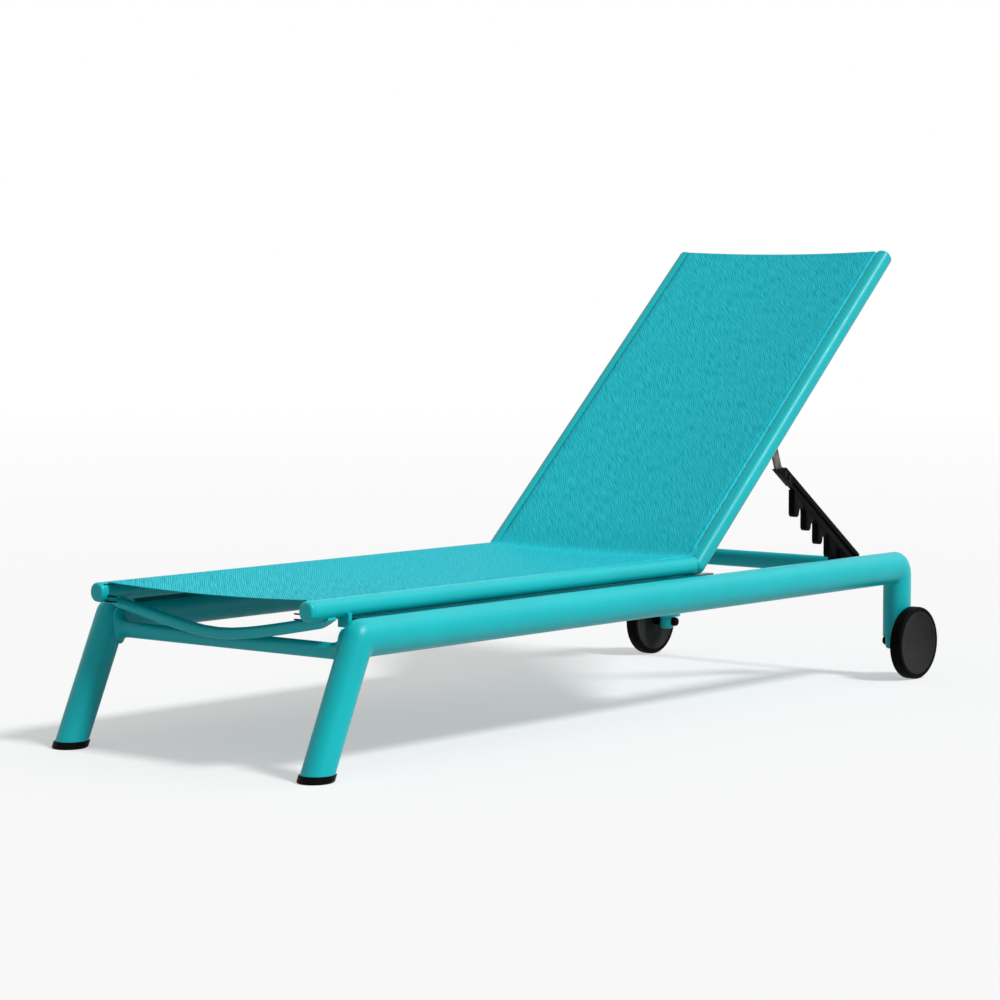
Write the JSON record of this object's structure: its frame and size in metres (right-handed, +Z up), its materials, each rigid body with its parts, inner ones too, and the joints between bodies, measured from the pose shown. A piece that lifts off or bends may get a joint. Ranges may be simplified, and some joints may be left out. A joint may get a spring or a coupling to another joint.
{
  "type": "reclining sun lounger",
  "caption": "Low sun lounger on a tube frame with a woven seat, a reclining woven back held by ratchet racks, and wheels at the head end.",
  "frame": {"origin": "on the ground, in the middle of the bounding box", "axes": "+X is the right-hand side seen from the foot end, +Y points to the head end, +Z is up"},
  "size_m": [0.723, 1.9142, 0.9057],
  "materials": {
    "frame_paint": "satin powder coat",
    "sling_fabric": "woven coated yarn",
    "black_nylon": "moulded, satin",
    "tyre_rubber": "matte rubber",
    "steel": "brushed"
  },
  "bodies": {
    "frame": {"axle_left": "steel", "axle_nut_left": "black_nylon", "axle_nut_right": "black_nylon", "axle_right": "steel", "foot_cap_left": "black_nylon", "foot_cap_right": "black_nylon", "front_crossbar": "frame_paint", "hinge_pin_left": "steel", "hinge_pin_right": "steel", "leg_end_cap_left": "frame_paint", "leg_end_cap_right": "frame_paint", "rack_stud_left": "steel", "rack_stud_right": "steel", "rear_crossbar": "frame_paint", "seat_bow_front": "frame_paint", "seat_bow_rear": "frame_paint", "seat_bracket_front_left": "frame_paint", "seat_bracket_front_right": "frame_paint", "seat_end_cap_left": "frame_paint", "seat_end_cap_right": "frame_paint", "seat_packer_left": "black_nylon", "seat_packer_right": "black_nylon", "seat_rail_left": "frame_paint", "seat_rail_right": "frame_paint", "seat_sling": "sling_fabric", "seat_sling_rod_left": "black_nylon", "seat_sling_rod_right": "black_nylon", "side_frame_left": "frame_paint", "side_frame_right": "frame_paint", "stop_plate_left": "steel", "stop_plate_right": "steel", "wheel_spacer_left": "black_nylon", "wheel_spacer_right": "black_nylon"},
    "back": {"back_bow_top": "frame_paint", "back_end_cap_left": "frame_paint", "back_end_cap_right": "frame_paint", "back_rail_left": "frame_paint", "back_rail_right": "frame_paint", "back_sling": "sling_fabric", "back_sling_rod_left": "black_nylon", "back_sling_rod_right": "black_nylon", "rack_ear_left": "steel", "rack_ear_right": "steel", "rack_pin_left": "steel", "rack_pin_right": "steel"},
    "racks": {"rack_left": "black_nylon", "rack_right": "black_nylon", "rack_tongue_left": "steel", "rack_tongue_right": "steel"},
    "wheel_left": {"tyre_left": "tyre_rubber", "wheel_hub_left": "black_nylon"},
    "wheel_right": {"tyre_right": "tyre_rubber", "wheel_hub_right": "black_nylon"}
  },
  "joints": [
    {"name": "back_recline", "type": "hinge", "parent": "frame", "child": "back", "pos_m": [0, 0.2235, 0.283], "axis": [1, 0, 0], "range_deg": [-42.26, 8]},
    {"name": "rack_swing", "type": "hinge", "parent": "back", "child": "racks", "pos_m": [0, 0.52048, 0.51238], "axis": [1, 0, 0], "range_deg": [-9.6, 50.75]},
    {"name": "wheel_left_spin", "type": "hinge", "parent": "frame", "child": "wheel_left", "pos_m": [-0.3486, 0.882, 0.0765], "axis": [1, 0, 0], "continuous": true},
    {"name": "wheel_right_spin", "type": "hinge", "parent": "frame", "child": "wheel_right", "pos_m": [0.3486, 0.882, 0.0765], "axis": [1, 0, 0], "continuous": true}
  ],
  "couplings": [
    {"joint": "rack_swing", "follows": "back_recline", "ratio": -1.2}
  ]
}
